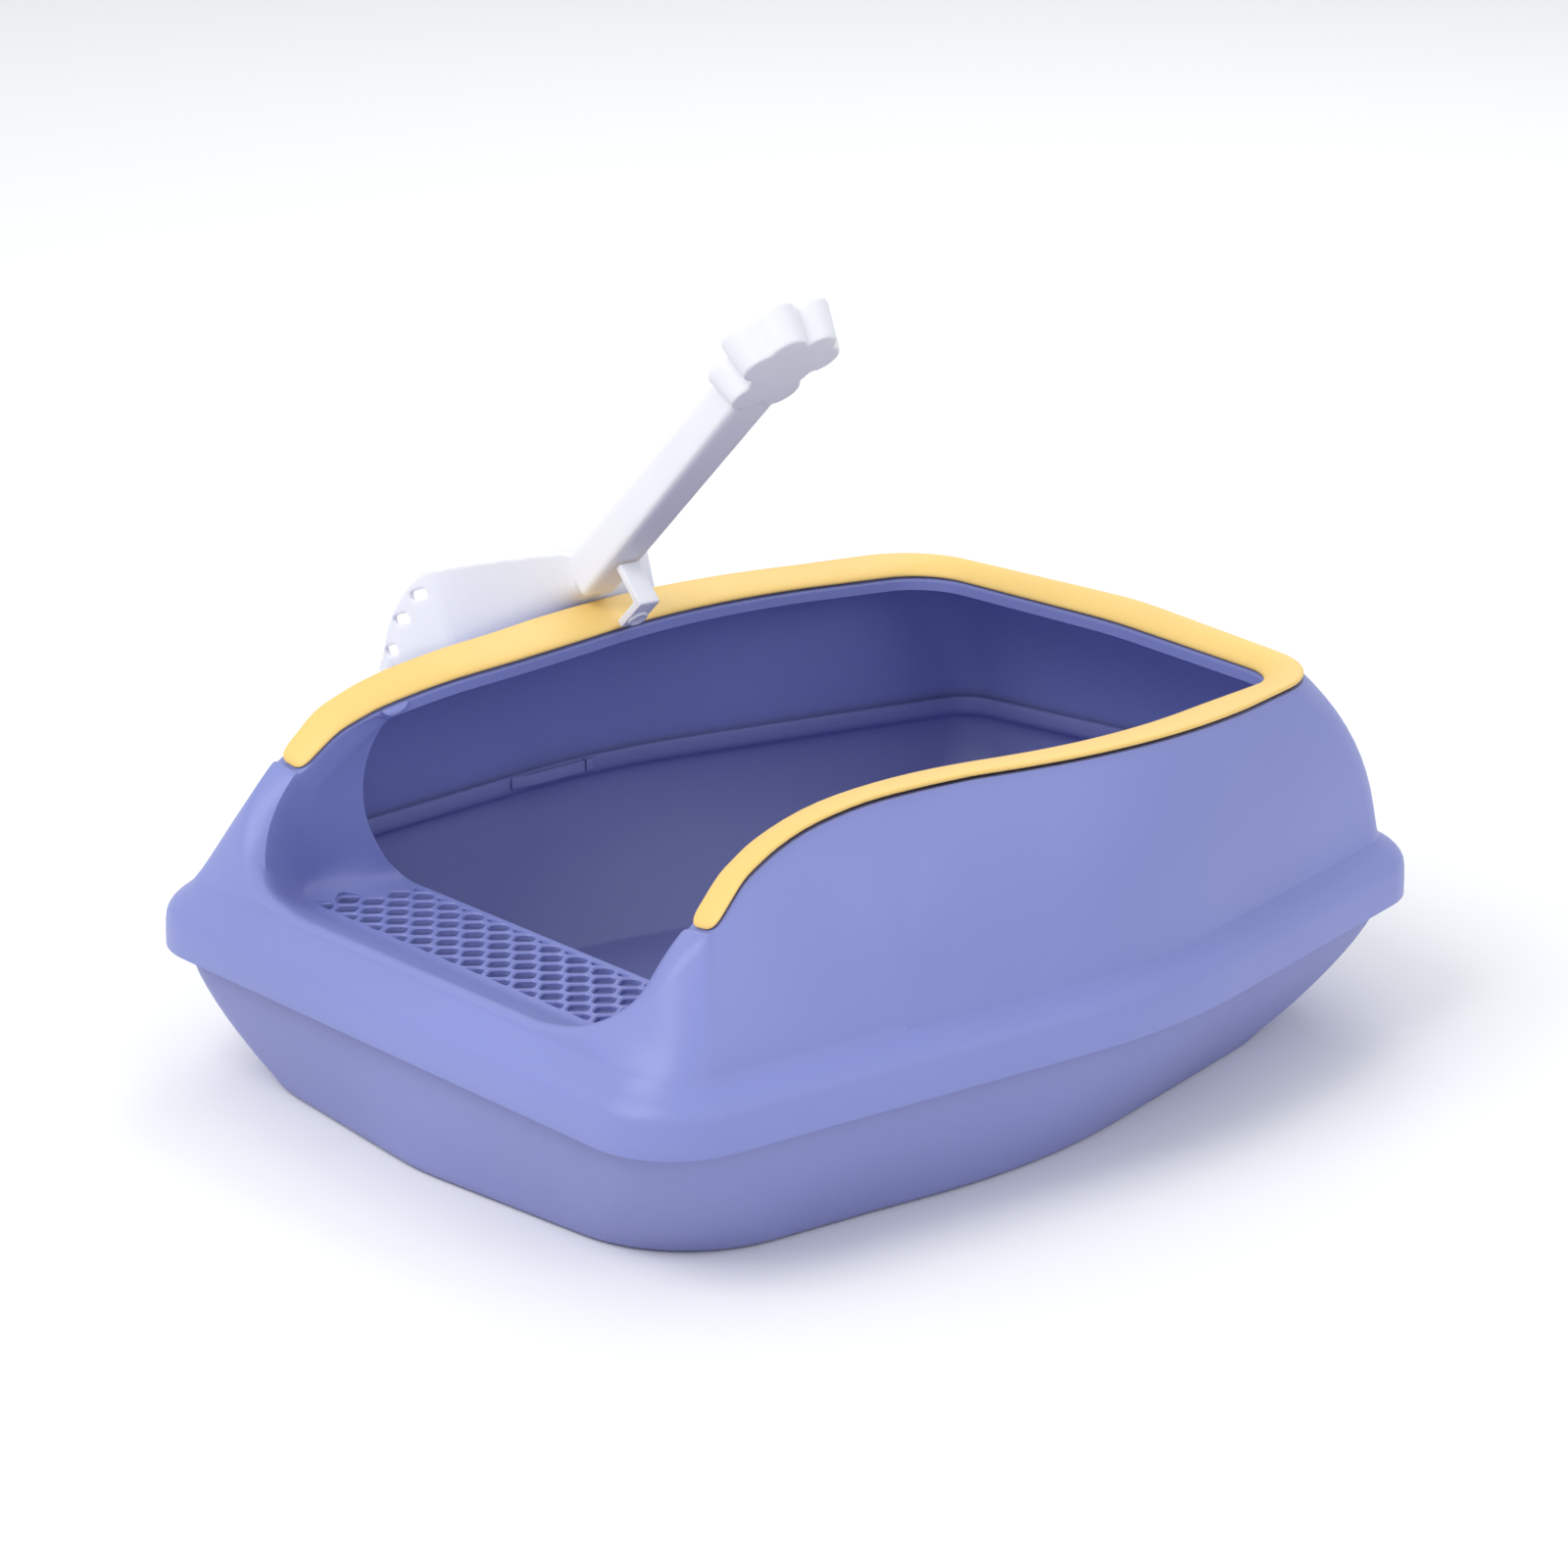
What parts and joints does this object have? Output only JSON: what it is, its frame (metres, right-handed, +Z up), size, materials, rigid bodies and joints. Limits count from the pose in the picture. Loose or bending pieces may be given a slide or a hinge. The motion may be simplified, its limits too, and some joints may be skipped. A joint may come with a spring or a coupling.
{
  "type": "cat litter box with hood",
  "caption": "Open-top cat litter box: a flared tub, a lift-off splash-guard hood with a honeycomb step and soft rim trim, and a paw-ended scoop hung on the rim.",
  "frame": {"origin": "on the tub's flat underside, on the left-right centre line, 250 mm behind the front edge of the hood's skirt", "axes": "+Z up, -Y towards the entrance that the cat steps through, +X to the right of someone who stands in front of the entrance and looks in, so the scoop hangs on the left (-X) rim"},
  "size_m": [0.4159, 0.462, 0.3113],
  "materials": {
    "tub_plastic": "satin periwinkle polypropylene",
    "hood_plastic": "satin periwinkle polypropylene",
    "trim": "soft satin yellow plastic",
    "scoop_plastic": "satin white plastic"
  },
  "bodies": {
    "base": {"tub": "tub_plastic"},
    "cover": {"hood": "hood_plastic", "rim_trim": "trim"},
    "scooper": {"scoop": "scoop_plastic", "scoop_hook": "scoop_plastic"}
  },
  "joints": [
    {"name": "hood_lift", "type": "slide", "parent": "base", "child": "cover", "axis": [0, 0, 1], "range_m": [0, 0.12]},
    {"name": "scoop_lift", "type": "slide", "parent": "cover", "child": "scooper", "axis": [0, 0, 1], "range_m": [0, 0.16]}
  ]
}
